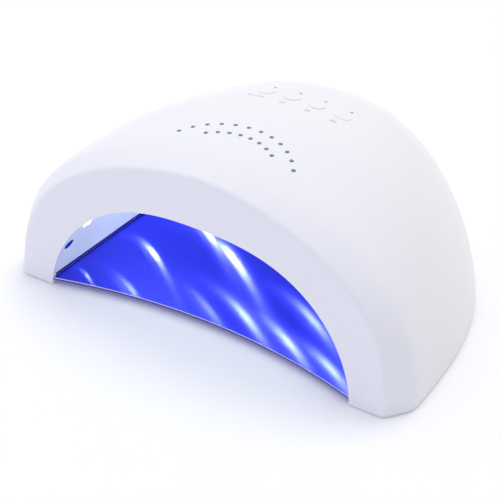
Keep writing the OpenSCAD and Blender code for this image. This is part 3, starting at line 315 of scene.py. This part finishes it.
def shell_bosses():
    """Bosses for the frame's screws, guides round the buttons and posts for their board."""
    bm = bmesh.new()
    for at in boss_places:
        add_cylinder(bm, at, BOSS_D, 0, BOSS_H, sides=40)
    guide_d = BUTTON_D + 2 * (BUTTON_GAP + GUIDE_WALL)
    for p in button_tops:
        add_cylinder(bm, at_datum(p), guide_d, -GUIDE_END, p.z - WALL / 2, sides=64)
    for p in post_places:
        top = to_datum(p.x, BUTTON_S + p.y).z - WALL / 2
        add_cylinder(bm, at_datum(p), POST_D, -POST_END, top, sides=32)
    return bmesh_object("bosses", bm)


def boss_ribs():
    """A rib from each boss to the shell's side wall."""
    bm = bmesh.new()
    for at in boss_places:
        x, y = at.translation.x, at.translation.y
        s = y - FRONT_Y
        k = s / SHELL_D
        foot = ((FOOT_Z - BASE_Z) / shell_h(s, WALL)) ** blend3(UP, k)
        reach = float(shell_w(s, WALL) * (1 - foot) ** (1 / blend3(ACROSS, k))) + WALL / 2
        length = reach - abs(x)
        centre = (math.copysign(reach - length / 2, x), y, FOOT_Z + RIB_H / 2)
        box = Matrix.Translation(centre) @ Matrix.Diagonal((length, RIB_T, RIB_H, 1))
        bmesh.ops.create_cube(bm, size=1, matrix=Matrix.Scale(MM, 4) @ box)
    return bmesh_object("ribs", bm)


def vent_places():
    """Where the two arcs of vent holes go through the roof."""
    places = []
    for radius, step, count in VENTS:
        for k in range(count):
            a = math.radians((k - (count - 1) / 2) * step)
            x, s = radius * math.sin(a), VENT_CENTRE_S + radius * math.cos(a)
            places.append(vector(roof_pt(x, s)))
    return places


def mark_vents(obj):
    """Puts the upright walls of the vent holes on the second slot, which holds their painted shade.
    """
    places = [p.xy * MM for p in vent_places()]
    for poly in obj.data.polygons:
        if abs(poly.normal.z) < TILT:
            near = min((poly.center.xy - p).length for p in places)
            poly.material_index = int(near < (VENT_D / 2 + VENT_MARGIN) * MM)


def shell_cutters():
    """Holes for screws, vents, buttons, indicator lights and the power socket."""
    bm = bmesh.new()
    for at in boss_places:
        add_cylinder(bm, at, SCREW_D + HOLE_ROOM, -PAST, BOSS_H - BOSS_CAP, sides=32)
    for p in post_places:
        pilot_end = -POST_END + PAST + SCREW_REACH
        add_cylinder(bm, at_datum(p), PILOT_D, -POST_END - PAST, pilot_end, sides=24)
    for p in vent_places():
        add_cylinder(bm, Matrix.Translation(p), VENT_D, *VENT_CUT, sides=24)
    for p, q in zip(button_tops, indicator_tops):
        add_cylinder(bm, at_datum(p), BUTTON_D + 2 * MOUTH_GAP, *MOUTH_CUT, sides=64)
        add_cylinder(bm, at_datum(q, q.z), INDICATOR_D + HOLE_ROOM, *PIPE_CUT, sides=24)
    back = Matrix.Translation((0, FRONT_Y + SHELL_D, JACK_Z))
    add_cylinder(bm, back @ Matrix.Rotation(-math.pi / 2, 4, "X"), JACK_D, *JACK_CUT, sides=48)
    return bmesh_object("cutters", bm)


def tray_mesh():
    """The tray: a flat sheet with straight sides, a round back, a hollow front and soft edges."""
    back_rows, front_columns = 41, 61
    back_turns = np.radians(np.linspace(0, 90, back_rows))
    stations = TUNNEL_D + (TRAY_BACK_S - TUNNEL_D) * np.sin(back_turns)
    stations = np.concatenate([[TRAY_FRONT_S], stations])
    share = np.clip((stations - TUNNEL_D) / (TRAY_BACK_S - TUNNEL_D), 0, 1)
    half = TRAY_HALF_W * np.sqrt(1 - share ** TRAY_POWER)
    bow_r = (TRAY_HALF_W ** 2 + TRAY_CURVE ** 2) / (2 * TRAY_CURVE)
    # The front edge is an arc, without its two ends, which the sides have
    turns = np.linspace(-1, 1, front_columns)[1:-1] * math.asin(TRAY_HALF_W / bow_r)
    outline = [
        (bow_r * math.sin(a), TRAY_FRONT_S + TRAY_CURVE - bow_r * (1 - math.cos(a))) for a in turns
    ]
    outline += list(zip(half, stations)) + list(zip(-half[-2::-1], stations[-2::-1]))
    n = len(outline)
    points = [(x, FRONT_Y + s, z) for z in (TRAY_Z, TRAY_LINE_Z, TRAY_TOP_Z) for x, s in outline]
    faces = [range(n)[::-1], range(2 * n, 3 * n)]
    for low in (0, n):
        for k in range(n):
            a, b = low + k, low + (k + 1) % n
            faces.append((a, b, n + b, n + a))
    obj = new_object("tray_plate", points, faces)
    bm = bmesh.new()
    bm.from_mesh(obj.data)
    mid, nothing = TRAY_LINE_Z * MM, 1e-9
    # An edge of the bottom or the top has both of its ends on one side of the middle line
    rims = [e for e in bm.edges if math.prod(v.co.z - mid for v in e.verts) > nothing]
    bmesh.ops.bevel(
        bm, geom=rims, offset=TRAY_EDGE * MM, segments=BEVEL_SEGMENTS, profile=0.5, affect="EDGES"
    )
    bm.normal_update()
    # Front faces above the middle line get the bright edge; those below it get painted shade.
    for face in bm.faces:
        if face.normal.y < -TILT:
            face.material_index = 1 if face.calc_center_median().z > mid else 2
    bm.to_mesh(obj.data)
    bm.free()
    return obj


# ---- Nodes
def feed(tree, socket, value):
    """Gives a socket a value or another node's output."""
    if isinstance(value, bpy.types.NodeSocket):
        tree.links.new(value, socket)
    else:
        socket.default_value = value


def fill(tree, node, **inputs):
    """Feeds a node's inputs; _ in a name is a space."""
    for key, value in inputs.items():
        feed(tree, node.inputs[key.replace("_", " ")], value)


def add_node(tree, kind, settings=None, **inputs):
    """A new node, with its settings made before its inputs are fed."""
    node = tree.nodes.new(kind)
    for key, value in (settings or {}).items():
        setattr(node, key, value)
    fill(tree, node, **inputs)
    return node


def add_math(tree, operation, *terms):
    """The result of an operation on numbers or other nodes' outputs."""
    node = add_node(tree, "ShaderNodeMath", {"operation": operation})
    for socket, term in zip(node.inputs, terms):
        feed(tree, socket, term)
    return node.outputs["Value"]


# ---- Materials
# Where in the noise a colour is darkest and lightest, and the least roughness
DARK_AT, LIGHT_AT, LEAST_ROUGHNESS = 0.3, 0.7, 0.02
NOISE_DETAIL = 4
# How much a face's normal points up where it counts as upright and where as level
UPRIGHT, LEVEL = 0.2, 0.6


def material(name, colour, roughness, grain=900.0, stretch=(1, 1, 1), shade=0.03, uneven=0.05,
             bump=0.03, depth=0.00005, **inputs):
    """A principled material varied by a noise of grain cells a metre."""
    mat = bpy.data.materials.new(name)
    mat.use_nodes = True
    tree = mat.node_tree
    bsdf = tree.nodes["Principled BSDF"]
    fill(tree, bsdf, **inputs)
    coords = add_node(tree, "ShaderNodeTexCoord").outputs["Object"]
    mapping = add_node(tree, "ShaderNodeMapping", Vector=coords, Scale=stretch)
    noise = add_node(
        tree, "ShaderNodeTexNoise", Vector=mapping.outputs["Vector"], Scale=grain,
        Detail=NOISE_DETAIL,
    ).outputs["Fac"]
    ramp = add_node(tree, "ShaderNodeValToRGB", Fac=noise)
    dark, light = ramp.color_ramp.elements
    dark.position, light.position = DARK_AT, LIGHT_AT
    dark.color = [c * (1 - shade) for c in colour] + [1]
    light.color = [min(c * (1 + shade), 1) for c in colour] + [1]
    spread = add_node(
        tree, "ShaderNodeMapRange", Value=noise,
        To_Min=max(roughness - uneven, LEAST_ROUGHNESS), To_Max=roughness + uneven,
    )
    fill(tree, bsdf, Base_Color=ramp.outputs["Color"], Roughness=spread.outputs["Result"])
    if bump:
        dents = add_node(tree, "ShaderNodeBump", Strength=bump, Distance=depth, Height=noise)
        fill(tree, bsdf, Normal=dents.outputs["Normal"])
    return mat


def lit(name, colour, strength):
    """A material that glows in its own colour."""
    return material(
        name, colour, 0.25, grain=1500, Emission_Color=(*colour, 1), Emission_Strength=strength
    )


def brushed_plate_painted_blue_light():
    """Metal brushed from front to back, coloured blue as painted light: the blue stands in for the
    beads' light on it.
    """
    mat = material(
        "blue_plate", (0.05, 0.062, 0.85), 0.185, grain=3200, stretch=(1, 0.012, 1), shade=0.06,
        uneven=0.02, bump=0.04, depth=0.00002, Metallic=1, Anisotropic=0.98,
    )
    tree = mat.node_tree
    tangent = add_node(tree, "ShaderNodeCombineXYZ", X=1)
    fill(tree, tree.nodes["Principled BSDF"], Tangent=tangent.outputs["Vector"])
    return mat


def foot_painted_shade(mat, colour, top, blend=0.1):
    """Gives a piece's upright faces up to a height, in millimetres, a dark colour of painted shade.
    """
    tree = mat.node_tree
    bsdf = tree.nodes["Principled BSDF"]
    plain = bsdf.inputs["Base Color"].links[0].from_socket
    coords = add_node(tree, "ShaderNodeTexCoord")
    normal = add_node(tree, "ShaderNodeSeparateXYZ", Vector=coords.outputs["Normal"])
    point = add_node(tree, "ShaderNodeSeparateXYZ", Vector=coords.outputs["Object"])
    level = add_node(
        tree, "ShaderNodeMapRange", Value=add_math(tree, "ABSOLUTE", normal.outputs["Z"]),
        From_Min=UPRIGHT, From_Max=LEVEL,
    )
    above = add_node(
        tree, "ShaderNodeMapRange", Value=point.outputs["Z"],
        From_Min=(top - blend) * MM, From_Max=(top + blend) * MM,
    )
    share = add_math(tree, "MAXIMUM", level.outputs["Result"], above.outputs["Result"])
    mix = add_node(
        tree, "ShaderNodeMix", {"data_type": "RGBA"}, Factor=share, A=(*colour, 1), B=plain
    )
    fill(tree, bsdf, Base_Color=mix.outputs["Result"])
    return mat


def paint(obj, mat):
    """Puts one material on every slot of obj."""
    if not obj.material_slots:
        obj.data.materials.append(mat)
    for held in obj.material_slots:
        held.link = "OBJECT"
        held.material = mat


# ---- The shell
gloss_white = material(
    "gloss_white", (0.885, 0.885, 0.895), 0.3, grain=260, shade=0.006, uneven=0.02, bump=0.02,
    Specular_IOR_Level=0.2,
)
# The vent holes' walls are darker than the shell: painted shade for the inside of the holes.
vent_painted_shade = material("vent_painted_shade", (0.74, 0.74, 0.755), 0.5, grain=260, shade=0.01)

shell = shell_mesh()
boolean(shell, shell_bosses(), "UNION")
boolean(shell, boss_ribs(), "UNION")
boolean(shell, shell_cutters(), "DIFFERENCE")
smooth(shell, SHELL_SHARP)
shell.data.materials.clear()
paint(shell, gloss_white)
shell.data.materials.append(vent_painted_shade)
mark_vents(shell)
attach(shell, "lamp_body")
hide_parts("outer_shell")


def label(text, x, size):
    """A thin layer of ink on the roof in front of a button."""
    curve = bpy.data.curves.new("text", "FONT")
    curve.body, curve.size, curve.extrude = text, size, INK_T
    curve.align_x, curve.align_y = "CENTER", "CENTER"
    curve.resolution_u = LABEL_STEPS
    obj = add_object("text", curve)
    graph = bpy.context.evaluated_depsgraph_get()
    mesh = bpy.data.meshes.new_from_object(obj.evaluated_get(graph))
    for vert in mesh.vertices:
        p = vector(roof_pt(x + vert.co.x, LABEL_S + vert.co.y))
        vert.co = (p + OUTWARD * vert.co.z) * MM
    bpy.data.objects.remove(obj)
    bpy.data.curves.remove(curve)
    return mesh


label_bm = bmesh.new()
for (text, size), x in zip(LABELS, button_xs):
    label_bm.from_mesh(label(text, x, size * LABEL_SIZE))
labels = bmesh_object("printed_labels", label_bm)
paint(labels, material("grey_ink", (0.5, 0.52, 0.56), 0.4, grain=3000, shade=0.05, bump=0.02))
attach(labels, "lamp_body")

# ---- The tray
tray = tray_mesh()
# The plate's blue is painted light from the beads, not the metal's own colour.
paint(tray, brushed_plate_painted_blue_light())
# The tray's front edge: a bright upper part, and below it a dark painted shade for the shade under
# the sheet.
for edge in (
    material("plate_edge", (0.75, 0.77, 0.92), 0.35, shade=0.02, Metallic=0.3),
    material("plate_edge_painted_shade", (0.03, 0.04, 0.25), 0.5, shade=0.02),
):
    tray.data.materials.append(edge)
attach(tray, "tray")
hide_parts("base_tray")


# ---- The CAD nodes
MERGE_DISTANCE = 0.02 * MM


def smoothing(degrees):
    """A node group that joins a CAD mesh's facets and shades it smooth up to an angle."""
    tree = bpy.data.node_groups.new("smooth_%d" % degrees, "GeometryNodeTree")
    for way in ("INPUT", "OUTPUT"):
        tree.interface.new_socket("Geometry", in_out=way, socket_type="NodeSocketGeometry")
    start = add_node(tree, "NodeGroupInput")
    merge = add_node(
        tree, "GeometryNodeMergeByDistance", Geometry=start.outputs[0], Distance=MERGE_DISTANCE
    )
    faces = add_node(tree, "GeometryNodeSetShadeSmooth", Geometry=merge.outputs["Geometry"])
    angle = add_node(tree, "GeometryNodeInputMeshEdgeAngle").outputs["Unsigned Angle"]
    above = add_node(
        tree, "FunctionNodeCompare", {"operation": "GREATER_THAN"},
        A=angle, B=math.radians(degrees),
    )
    edges = add_node(
        tree, "GeometryNodeSetShadeSmooth", {"domain": "EDGE"}, Shade_Smooth=False,
        Geometry=faces.outputs["Geometry"], Selection=above.outputs["Result"],
    )
    add_node(tree, "NodeGroupOutput", Geometry=edges.outputs["Geometry"])
    return tree


smooth_group = smoothing(NODE_SHARP)


def finish_node(name, mat, bevel):
    """Gives a CAD node its material, smooth shading and, where it helps, softened edges."""
    obj = nodes[name]
    paint(obj, mat)
    group = obj.modifiers.new("smooth", "NODES")
    group.node_group = smooth_group
    if bevel:
        edge = obj.modifiers.new("edges", "BEVEL")
        edge.width = bevel * MM
        edge.segments = BEVEL_SEGMENTS
        edge.limit_method = "ANGLE"
        edge.angle_limit = math.radians(BEVEL_SHARP)
        edge.harden_normals = True
        edge.use_clamp_overlap = True


liner_white = material(
    "liner_white", (0.85, 0.9, 0.88), 0.5, grain=300, shade=0.004, uneven=0.03, bump=0.01,
    Specular_IOR_Level=0.25,
)
# The frame's upright faces below 5.3 mm are painted dark navy: painted shade for the narrow gap
# beside the tray.
frame_white_painted_shade = foot_painted_shade(
    material("frame_white_painted_shade", (0.8, 0.81, 0.83), 0.45, grain=1400, shade=0.02, bump=0.08),
    (0.004, 0.004, 0.16), top=5.3,
)
steel = material(
    "bright_steel", (0.62, 0.62, 0.64), 0.3, grain=1200, stretch=(1, 1, 6), shade=0.08, bump=0.05,
    Metallic=1,
)
brass = material(
    "standoff_brass", (0.62, 0.45, 0.17), 0.3, grain=1500, shade=0.08, bump=0.05, Metallic=1
)
rubber = material("foot_rubber", (0.05, 0.05, 0.055), 0.75, grain=2200, shade=0.2, bump=0.2)
board_white = material("board_white", (0.75, 0.77, 0.76), 0.4, grain=500, shade=0.04, bump=0.05)
board_green = material(
    "board_green", (0.02, 0.13, 0.06), 0.35, grain=450, stretch=(1, 6, 1), shade=0.3, bump=0.1
)
bead_lens = lit("bead_lens", (0.85, 0.93, 1.0), 2.5)
indicator = lit("indicator", (0.7, 0.8, 1.0), 1.5)
light_pipe = material(
    "light_pipe", (0.55, 0.57, 0.6), 0.15, grain=900, shade=0.03, bump=0.02,
    Transmission_Weight=0.35,
)
window_blue = material("window_blue", (0.015, 0.02, 0.4), 0.12, grain=900, shade=0.1, bump=0.02)
sensor_dark = material("sensor_dark", (0.02, 0.02, 0.05), 0.2, grain=900, shade=0.2, bump=0.02)
chip_black = material("chip_black", (0.03, 0.03, 0.032), 0.45, grain=2500, shade=0.2, bump=0.1)
capacitor_blue = material(
    "capacitor_sleeve", (0.02, 0.035, 0.16), 0.3, grain=900, shade=0.12, bump=0.03
)
connector_ivory = material(
    "connector_ivory", (0.72, 0.68, 0.55), 0.4, grain=900, shade=0.04, bump=0.04
)
socket_black = material(
    "socket_black", (0.025, 0.025, 0.027), 0.4, grain=1800, shade=0.2, bump=0.08
)
cable_grey = material(
    "cable_grey", (0.42, 0.42, 0.43), 0.5, grain=600, stretch=(8, 1, 1), shade=0.12, bump=0.08
)
wire_red = material("wire_red", (0.35, 0.02, 0.02), 0.4, grain=1500, shade=0.1, bump=0.04)

# Each material with the nodes that have it, and the width of their softened edges in millimetres
FINISHES = (
    (liner_white, 0, ("reflector_liner",)),
    (frame_white_painted_shade, 0, ("bottom_frame",)),
    (gloss_white, 0.1, ("power_button", "short_timer_button", "middle_timer_button",
                        "long_timer_button")),
    (chip_black, 0, ("power_plunger", "short_timer_plunger", "middle_timer_plunger",
                     "long_timer_plunger", "tact_switches", "microcontroller", "driver_inductor",
                     "driver_chips")),
    (board_white, 0, ("roof_led_board", "rear_led_board", "left_shoulder_board",
                      "right_shoulder_board", "left_side_board", "right_side_board",
                      "left_corner_board", "right_corner_board")),
    (bead_lens, 0, ("roof_led_beads", "rear_led_beads", "left_led_beads", "right_led_beads")),
    (board_green, 0, ("driver_board", "button_board")),
    (steel, 0, ("led_board_screws", "driver_board_screws", "button_board_screws")),
    (steel, 0.1, ("frame_screws", "dc_jack_pin")),
    (steel, 0.15, ("tray_magnets",)),
    (brass, 0, ("board_standoffs",)),
    (rubber, 0.3, ("rubber_feet",)),
    (sensor_dark, 0, ("ir_emitter", "ir_receiver")),
    (window_blue, 0.1, ("sensor_windows",)),
    (capacitor_blue, 0, ("driver_capacitors",)),
    (connector_ivory, 0, ("strip_connectors",)),
    (indicator, 0, ("indicator_leds",)),
    (light_pipe, 0, ("light_pipes",)),
    (cable_grey, 0, ("ribbon_cable",)),
    (socket_black, 0.2, ("dc_jack_body",)),
    (wire_red, 0, ("jack_wires", "strip_wires")),
)
for mat, bevel, names in FINISHES:
    for name in names:
        finish_node(name, mat, bevel)

# ---- Floor, light and camera
FLOOR_HALF = 6000
CORNERS = ((-1, -1), (1, -1), (1, 1), (-1, 1))
floor = new_object(
    "floor", [(x * FLOOR_HALF, y * FLOOR_HALF, 0) for x, y in CORNERS], [(0, 1, 2, 3)]
)
floor_white = material(
    "floor_white", (0.9, 0.9, 0.9), 0.8, grain=30, shade=0.004, bump=0, Specular_IOR_Level=0.1,
    Emission_Color=(1, 1, 1, 1), Emission_Strength=0.08,
)
paint(floor, floor_white)


def lamp_light(name, centre, radius, energy, colour, receivers, glossy):
    """A round light inside the lamp, unseen by the camera, that lights only the receivers."""
    light = bpy.data.lights.new(name, "POINT")
    light.energy, light.shadow_soft_size, light.color = energy, radius * MM, colour
    obj = add_object(name, light)
    obj.location = Vector(centre) * MM
    obj.visible_camera = obj.visible_transmission = False
    obj.visible_glossy, obj.visible_diffuse = glossy, not glossy
    obj.light_linking.receiver_collection = bpy.data.collections.new(name)
    for receiver in receivers:
        obj.light_linking.receiver_collection.objects.link(receiver)


# The beads' hot cores, which the plate mirrors as streaks: x, depth, height and how bright
CORES = (
    (-74.6, 67.8, 22.6, 1.0), (-64.5, 101, 24.9, 1.3), (-52.1, 105.5, 37.4, 3.4),
    (-30, 85, 54, 1.8), (0, 79, 54, 1.8), (0, 102, 54, 1.4), (30, 72, 54, 1.6),
    (-45, 74, 49, 0.5), (-69.6, 43, 29.3, 0.35), (-82, 23, 15, 0.35),
)
CORE_R, CORE_ENERGY, CORE_COLOUR = 1.3, 0.008, (0.9, 1.0, 1.0)
for k, (x, depth, z, share) in enumerate(CORES):
    lamp_light("core_%d" % k, (x, FRONT_Y + depth, z), CORE_R, CORE_ENERGY * share, CORE_COLOUR,
               [tray], glossy=True)

# Two weak lights for what the beads throw on the cavity's walls
FILL_X, FILL_S, FILL_Z = 40, 50, 30
FILL_R, FILL_ENERGY, FILL_COLOUR = 12, 0.036, (0.92, 1.0, 0.6)
for side in (-1, 1):
    lamp_light("cavity_fill", (side * FILL_X, FRONT_Y + FILL_S, FILL_Z), FILL_R, FILL_ENERGY,
               FILL_COLOUR, [nodes["reflector_liner"], nodes["bottom_frame"]], glossy=False)

# A soft key from above and behind, which leaves the floor in front of the opening a little darker
KEY_ENERGY, KEY_DEGREES, KEY_FROM = 0.9, 35, Vector((0, 0.4, 0.92))
key = bpy.data.lights.new("key", "SUN")
key.energy, key.angle = KEY_ENERGY, math.radians(KEY_DEGREES)
key_light = add_object("key", key)
key_light.rotation_mode = "QUATERNION"
key_light.rotation_quaternion = KEY_FROM.to_track_quat("Z", "Y")
key_light.visible_glossy = False


def studio_world(level, rise, right, back, tint_y, front_tint):
    """Soft light that changes upwards, to the right and to the back, and is tinted in front."""
    world = bpy.data.worlds.new("studio")
    bpy.context.scene.world = world
    world.use_nodes = True
    tree = world.node_tree
    coords = add_node(tree, "ShaderNodeTexCoord")
    way = add_node(tree, "ShaderNodeSeparateXYZ", Vector=coords.outputs["Generated"])
    strength = add_math(tree, "MULTIPLY_ADD", way.outputs["Z"], rise, level)
    to_right = add_node(tree, "ShaderNodeMapRange", Value=way.outputs["X"], To_Max=right)
    strength = add_math(tree, "ADD", to_right.outputs["Result"], strength)
    strength = add_math(tree, "MULTIPLY_ADD", way.outputs["Y"], back, strength)
    front = add_node(
        tree, "ShaderNodeMapRange", Value=way.outputs["Y"], From_Min=0.0, From_Max=tint_y
    )
    tint = add_node(
        tree, "ShaderNodeMix", {"data_type": "RGBA"}, Factor=front.outputs["Result"],
        A=(1, 1, 1, 1), B=(*front_tint, 1),
    )
    fill(tree, tree.nodes["Background"], Strength=strength, Color=tint.outputs["Result"])


studio_world(
    level=0.7, rise=0.23, right=-0.38, back=0.03, tint_y=-0.9, front_tint=(0.95, 0.98, 1.34)
)
bpy.context.scene.view_settings.view_transform = "Standard"

# The camera as fitted to the photo: from where it looks and at what, in millimetres, its focal
# length in pixels, and its clip distances in metres
AZIMUTH, ELEVATION, DISTANCE = math.radians(34.728), math.radians(32.787), 1012.7
TARGET = Vector((-11.98, -16.55, 13.39))
SENSOR_W, FOCAL_PX, PHOTO_PX = 36, 2104, 500
NEAREST, FARTHEST = 0.05, 50
from_target = Vector((
    math.sin(AZIMUTH) * math.cos(ELEVATION),
    -math.cos(AZIMUTH) * math.cos(ELEVATION),
    math.sin(ELEVATION),
))
camera_data = bpy.data.cameras.new("camera")
camera_data.lens = SENSOR_W * FOCAL_PX / PHOTO_PX
camera_data.sensor_width = SENSOR_W
camera_data.clip_start, camera_data.clip_end = NEAREST, FARTHEST
camera = add_object("camera", camera_data)
camera.location = (TARGET + from_target * DISTANCE) * MM
camera.rotation_mode = "QUATERNION"
camera.rotation_quaternion = (-from_target).to_track_quat("-Z", "Y")
bpy.context.scene.camera = camera
